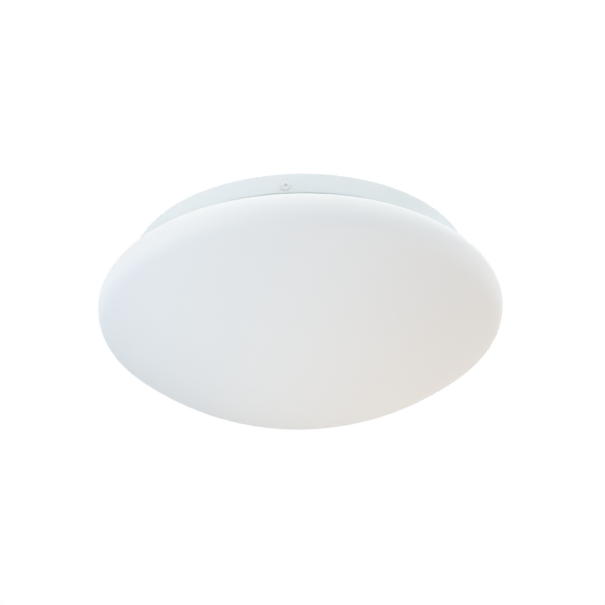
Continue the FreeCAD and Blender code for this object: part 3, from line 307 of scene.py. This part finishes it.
# Two base colours, lowest and highest roughness, streaks per metre and how the streaks are stretched.
METALS = {
    "spring_steel": ((0.50, 0.51, 0.53), (0.58, 0.58, 0.59), 0.22, 0.38, 700, (1, 1, 0.06)),
    "zinc_steel": ((0.62, 0.64, 0.66), (0.70, 0.71, 0.71), 0.25, 0.42, 260, (1, 1, 1)),
    "brass": ((0.72, 0.52, 0.24), (0.80, 0.60, 0.30), 0.22, 0.36, 800, (1, 0.08, 1)),
    "tinned_copper": ((0.62, 0.61, 0.58), (0.68, 0.67, 0.65), 0.3, 0.45, 500, (1, 1, 1)),
    "solder": ((0.50, 0.50, 0.50), (0.60, 0.60, 0.60), 0.35, 0.55, 900, (1, 1, 1)),
    "lamp_cap_metal": ((0.66, 0.67, 0.68), (0.72, 0.72, 0.72), 0.2, 0.34, 500, (0.05, 1, 1)),
}
# Two base colours, lowest and highest roughness, bumps per metre and their height in metres.
PLASTICS = {
    "white_screws": ((0.72, 0.75, 0.76), (0.76, 0.785, 0.795), 0.3, 0.42, 900, 0.00003),
    "black_rubber": ((0.02, 0.02, 0.022), (0.035, 0.035, 0.036), 0.6, 0.8, 1500, 0.00004),
    "natural_nylon": ((0.76, 0.73, 0.62), (0.80, 0.77, 0.67), 0.38, 0.5, 700, 0.00003),
    "brown_wire": ((0.10, 0.04, 0.018), (0.13, 0.052, 0.025), 0.4, 0.5, 900, 0.00001),
    "blue_wire": ((0.02, 0.09, 0.36), (0.025, 0.11, 0.42), 0.4, 0.5, 900, 0.00001),
    "porcelain": ((0.79, 0.78, 0.73), (0.82, 0.81, 0.77), 0.1, 0.2, 160, 0.00005),
    "black_glass": ((0.01, 0.01, 0.014), (0.018, 0.018, 0.02), 0.08, 0.15, 400, 0.00002),
    "lamp_plastic": ((0.79, 0.79, 0.77), (0.81, 0.81, 0.79), 0.28, 0.38, 900, 0.00002),
    "lamp_diffuser": ((0.82, 0.82, 0.80), (0.84, 0.84, 0.82), 0.5, 0.6, 1200, 0.00002),
}
# What a few of the plastics have besides.
EXTRA_SOCKETS = {
    "natural_nylon": {"Subsurface_Weight": 0.2, "Subsurface_Scale": 0.002},
    "porcelain": {"Coat_Weight": 0.6, "Coat_Roughness": 0.06},
}


def make_materials():
    """Every finish by its slot's name."""
    made = {"opal_glass": opal_glass(), "white_enamel": white_enamel(), "green_wire": striped_wire()}
    for name, values in METALS.items():
        made[name] = metal(name, *values)
    for name, values in PLASTICS.items():
        made[name] = plastic(name, *values, **EXTRA_SOCKETS.get(name, {}))
    return made


def dress_nodes(materials):
    """Gives each CAD node the finish of its slot."""
    for part in frame["record"]["subparts"]:
        node = nodes[part["node"]]
        node.data.materials.clear()
        node.data.materials.append(materials[part["material_slot"]])


# ------------------------------------------------------------------ shapes
def arc(middle, radius, start, end, steps):
    """Points on an arc between two angles, both ends included."""
    angles = (start + (end - start) * i / steps for i in range(steps + 1))
    return [(middle[0] + radius * math.cos(a), middle[1] + radius * math.sin(a)) for a in angles]


def rounded(corners, steps=8):
    """An open line through corners given as (x, y) or (x, y, rounding)."""
    line = [tuple(corners[0][:2])]
    for before, corner, after in zip(corners, corners[1:], corners[2:]):
        here = Vector(corner[:2])
        radius = corner[2] if len(corner) > 2 else 0
        if not radius:
            line.append(tuple(here))
            continue
        back = (Vector(before[:2]) - here).normalized()
        on = (Vector(after[:2]) - here).normalized()
        half = back.angle(on) / 2
        middle = here + (back + on).normalized() * radius / math.sin(half)
        first, last = (here + d * radius / math.tan(half) - middle for d in (back, on))
        start = math.atan2(first.y, first.x)
        turn = (math.atan2(last.y, last.x) - start + math.pi) % math.tau - math.pi
        line += arc(middle, radius, start, start + turn, steps)
    return line + [tuple(corners[-1][:2])]


def grid_piece(name, rows, columns, point, closed=True):
    """A smooth mesh whose vertices are point(row, column); columns run round and close."""
    mesh = bmesh.new()
    made = [[mesh.verts.new(point(i, j)) for j in range(columns)] for i in range(rows)]
    for i in range(rows if closed else rows - 1):
        for j in range(columns):
            a, b = made[i], made[(i + 1) % rows]
            mesh.faces.new((a[j], a[(j + 1) % columns], b[(j + 1) % columns], b[j]))
    return piece_from(name, mesh)


def piece_from(name, mesh):
    """Turns a bmesh into a smooth object; points on the axis become one."""
    bmesh.ops.remove_doubles(mesh, verts=mesh.verts, dist=0.002 * MM)
    bmesh.ops.dissolve_degenerate(mesh, edges=mesh.edges, dist=0.001 * MM)
    bmesh.ops.recalc_face_normals(mesh, faces=mesh.faces)
    data = bpy.data.meshes.new(name)
    mesh.to_mesh(data)
    mesh.free()
    data.shade_smooth()
    piece = bpy.data.objects.new(name, data)
    bpy.context.scene.collection.objects.link(piece)
    return piece


def turned(name, outline, columns, closed=False):
    """A piece turned about Z from an outline of (radius, height)."""
    def point(i, j):
        angle = math.tau * j / columns
        return (outline[i][0] * math.cos(angle), outline[i][0] * math.sin(angle), outline[i][1])

    return grid_piece(name, len(outline), columns, point, closed)


def wear(piece, node, body, slot, finishes):
    """Puts a piece in a CAD node's stead, on its body, with a finish."""
    piece.data.materials.append(finishes[slot])
    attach(piece, body)
    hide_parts(node)


# ------------------------------------------------------------------ the bowl
WALL = 4 * MM
SHOULDER = 24 * MM  # rounding of the widest edge, seen in section
SHOULDER_TOP = 21 * MM  # the same above the widest line
DEPTH = 80 * MM  # from the widest line down
SLOPE = math.radians(18)
NECK_ROUND = 3 * MM
LIP_WIDTH, LIP_HEIGHT, LIP_ROUND = 4 * MM, 6 * MM, 1 * MM


def bowl_outline():
    """The glass in section: dome, shoulder, slope, neck and rolled lip, then back along the inside."""
    low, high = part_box("glass_shade")
    widest_z, radius = low[2] + DEPTH, high[0]
    lip_bottom = high[2] - LIP_HEIGHT
    lip_r = max(v.co.xy.length for v in nodes["glass_shade"].data.vertices if v.co.z > lip_bottom)
    neck_r = lip_r - LIP_WIDTH
    shoulder_r = radius - SHOULDER
    dome = (DEPTH ** 2 - SHOULDER ** 2 + shoulder_r ** 2) / (2 * (DEPTH - SHOULDER))
    dome_z = low[2] + dome
    joint = math.atan2(widest_z - dome_z, shoulder_r)

    def skin(inset, neck):
        line = arc((0, dome_z), dome - inset, -math.pi / 2, joint, 90)
        line += arc((shoulder_r, widest_z), SHOULDER - inset, joint, 0, 20)[1:]
        line += arc((radius - SHOULDER_TOP, widest_z), SHOULDER_TOP - inset, 0, math.pi / 2 - SLOPE, 32)[1:]
        x, z = line[-1]
        return line, (neck, z + (x - neck) * math.tan(SLOPE))

    outer, outer_neck = skin(0, neck_r)
    inner, inner_neck = skin(WALL, neck_r - WALL)
    mouth = rounded([
        outer[-1],
        (*outer_neck, NECK_ROUND),
        (neck_r, lip_bottom, LIP_ROUND),
        (lip_r, lip_bottom, LIP_ROUND),
        (lip_r, high[2], LIP_HEIGHT / 3),
        (neck_r - WALL, high[2], WALL / 3),
        (*inner_neck, 0),
        inner[-1],
    ])
    return outer + mouth[1:-1] + inner[::-1]


def make_bowl(finishes):
    bowl = turned("opal_bowl", bowl_outline(), 288)
    wear(bowl, "glass_shade", "shade", "opal_glass", finishes)


# ------------------------------------------------------------------ screw threads
LAMP_PITCH = 3.629 * MM
LAMP_THREAD = 0.95 * MM  # depth of the thread rolled into the caps and shells
SHEET = 0.5 * MM
CAP_SEAT = 0.02 * MM  # the caps turn this clear of the insulators, which don't turn
STEPS_PER_TURN = 12


def threaded(name, outline, depth, pitch, columns, place):
    """A closed piece turned about X from (along, radius, thread share) with a right-hand thread cut in."""
    def point(i, j):
        along, radius, share = outline[i]
        angle = math.tau * j / columns
        wave = 0.5 + 0.5 * math.cos(math.tau * along / pitch - angle)
        radius -= share * depth * wave
        return place @ Vector((along, radius * math.cos(angle), radius * math.sin(angle)))

    return grid_piece(name, len(outline), columns, point)


def thread_rows(start, end, radius, pitch):
    """Outline points of a threaded stretch, which fades out over its first and last turn."""
    count = round(abs(end - start) / pitch * STEPS_PER_TURN)
    rows = []
    for i in range(count + 1):
        along = start + (end - start) * i / count
        share = min(1, abs(along - start) / pitch, abs(end - along) / pitch)
        rows.append((along, radius, share))
    return rows


def lamp_frames():
    """The place of each lamp's axis: X runs out of the holder, and 0 is the holder's back."""
    frames = {}
    for side, sign in (("right", 1), ("left", -1)):
        low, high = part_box(f"{side}_lamp_holder")
        back = low[0] if sign > 0 else high[0]
        middle = Vector((back, (low[1] + high[1]) / 2, (low[2] + high[2]) / 2))
        frames[side] = Matrix.Translation(middle) @ Matrix.Rotation(0 if sign > 0 else math.pi, 4, "Z")
    return frames


def along_lamp(node, frame_matrix):
    """Where a node starts and ends along its lamp's axis, and its radius."""
    low, high = (frame_matrix.inverted() @ Vector(corner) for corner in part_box(node))
    return min(low.x, high.x), max(low.x, high.x), abs(high.z)


def make_lamp_caps(finishes):
    """The screw caps: a slanted end, a rolled thread and a plain skirt crimped on the lamp's body."""
    taper, skirt = 2 * MM, 3.2 * MM
    for side, place in lamp_frames().items():
        start, end, radius = along_lamp(f"{side}_lamp_cap", place)
        start += CAP_SEAT
        inside = radius - SHEET
        threads = thread_rows(start + taper, end - skirt, radius, LAMP_PITCH)
        outline = [(start, 0, 0), (start, radius - taper, 0), *threads, (end, radius, 0), (end, inside, 0)]
        outline += [(along, r - SHEET, share) for along, r, share in reversed(threads)]
        outline += [(start + SHEET, inside - taper, 0), (start + SHEET, 0, 0)]
        cap = threaded(f"{side}_threaded_cap", outline, LAMP_THREAD, LAMP_PITCH, 72, place)
        wear(cap, f"{side}_lamp_cap", f"{side}_lamp", "lamp_cap_metal", finishes)


def make_screw_shells(finishes):
    """The brass shells in the holders, with the thread that the caps turn in."""
    lead, hole = 1.5 * MM, 8 * MM
    for side, place in lamp_frames().items():
        start, end, radius = along_lamp(f"{side}_screw_shell", place)
        inside = radius - SHEET
        threads = thread_rows(start + lead, end - lead, inside, LAMP_PITCH)
        outline = [(start + SHEET, hole, 0), (start + SHEET, inside, 0), *threads]
        outline += [(end, inside, 0), (end, radius, 0)]
        outline += [(along, r + SHEET, share) for along, r, share in reversed(threads)]
        outline += [(start, radius, 0), (start, hole, 0)]
        shell = threaded(f"{side}_threaded_shell", outline, LAMP_THREAD, LAMP_PITCH, 72, place)
        wear(shell, f"{side}_screw_shell", "fixture", "brass", finishes)


# ------------------------------------------------------------------ the clip screws
HEAD_R, HEAD_HEIGHT = 4 * MM, 2.6 * MM
HEAD_SIDE = 0.42 * HEAD_HEIGHT  # the straight part of the head's height
DOME_START = 0.65  # where the head's dome starts, as a share of its radius
DOME_START_SQUARED = 0.42  # its square, rounded
UNDER_EDGE, TOP_EDGE = 0.2 * MM, 0.7 * MM  # roundings of the head's edge
TIP_CHAMFER = 0.5 * MM
M4_R, M4_PITCH, M4_THREAD = 2 * MM, 0.7 * MM, 0.4 * MM
RECESS_SPAN, RECESS_SLOT, RECESS_DEPTH = 4.2 * MM, 1.0 * MM, 1.5 * MM
RECESS_TURNS = (17, 52, 81)  # degrees, as the screws happened to stop


def cross_cutter():
    """A cross that narrows towards its bottom, as a driver's tip does."""
    mesh = bmesh.new()
    rings = []
    for along, share in ((HEAD_HEIGHT + RECESS_DEPTH, 1.25), (HEAD_HEIGHT - RECESS_DEPTH, 0.6)):
        arm, half = share * RECESS_SPAN / 2, RECESS_SLOT / 2 * (0.4 + 0.6 * share)
        ring = []
        for turn in range(4):
            spin = Matrix.Rotation(turn * math.pi / 2, 4, "X")
            for y, z in ((arm, -half), (arm, half), (half, half)):
                ring.append(mesh.verts.new(spin @ Vector((along, y, z))))
        rings.append(ring)
    count = len(rings[0])
    for j in range(count):
        mesh.faces.new((rings[0][j], rings[0][(j + 1) % count], rings[1][(j + 1) % count], rings[1][j]))
    for ring in rings:
        mesh.faces.new(ring)
    return piece_from("cross_cutter", mesh)


def pan_head_screw(length):
    """A screw along X whose head seats at 0: a low dome with a cross recess, and a cut thread."""
    rise = HEAD_HEIGHT - HEAD_SIDE
    crown = (HEAD_R ** 2 * DOME_START_SQUARED + rise ** 2) / (2 * rise)
    dome_from = math.asin(HEAD_R * DOME_START / crown)
    dome = arc((HEAD_HEIGHT - crown, 0), crown, dome_from, 0, 12)
    edge = rounded([(0, HEAD_R - 0.25 * MM), (0, HEAD_R, UNDER_EDGE), (HEAD_SIDE, HEAD_R, TOP_EDGE), dome[0]])
    head = [(x, r, 0) for x, r in edge[1:] + dome[1:]]
    threads = thread_rows(-length + 0.3 * MM, -0.2 * MM, M4_R, M4_PITCH)
    outline = [(-length, 0, 0), (-length, M4_R - TIP_CHAMFER, 0), *threads, (0, M4_R, 0), *head]
    screw = threaded("screw", outline, M4_THREAD, M4_PITCH, 48, Matrix())
    cutter = cross_cutter()
    cut = screw.modifiers.new("recess", "BOOLEAN")
    cut.object = cutter
    cut.solver = "EXACT"
    bpy.context.view_layer.update()
    made = bpy.data.meshes.new_from_object(screw.evaluated_get(bpy.context.evaluated_depsgraph_get()))
    bpy.data.objects.remove(screw)
    bpy.data.objects.remove(cutter)
    return made


def make_clip_screws(finishes):
    """The three white screws round the pan's wall, as one piece."""
    low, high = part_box("clip_screws")
    drop = (low[2] + high[2]) / 2
    seat = -low[1] - HEAD_HEIGHT  # the first screw faces -Y
    tip = max(v.co.y for v in nodes["clip_screws"].data.vertices if abs(v.co.x) < HEAD_R and v.co.y < 0)
    screw = pan_head_screw(seat + tip)
    mesh = bmesh.new()
    for number, turn in enumerate(RECESS_TURNS):
        around = Matrix.Rotation(math.radians(120 * number - 90), 4, "Z")
        outwards = Matrix.Translation((seat, 0, drop))
        copy = screw.copy()
        copy.transform(around @ outwards @ Matrix.Rotation(math.radians(turn), 4, "X"))
        mesh.from_mesh(copy)
    piece = piece_from("white_clip_screws", mesh)
    piece.data.set_sharp_from_angle(angle=math.radians(38))
    wear(piece, "clip_screws", "fixture", "white_screws", finishes)


make_camera()
make_world()
make_floor()
make_lights()
finishes = make_materials()
dress_nodes(finishes)
make_bowl(finishes)
make_lamp_caps(finishes)
make_screw_shells(finishes)
make_clip_screws(finishes)
bpy.context.scene.view_settings.view_transform = "Standard"
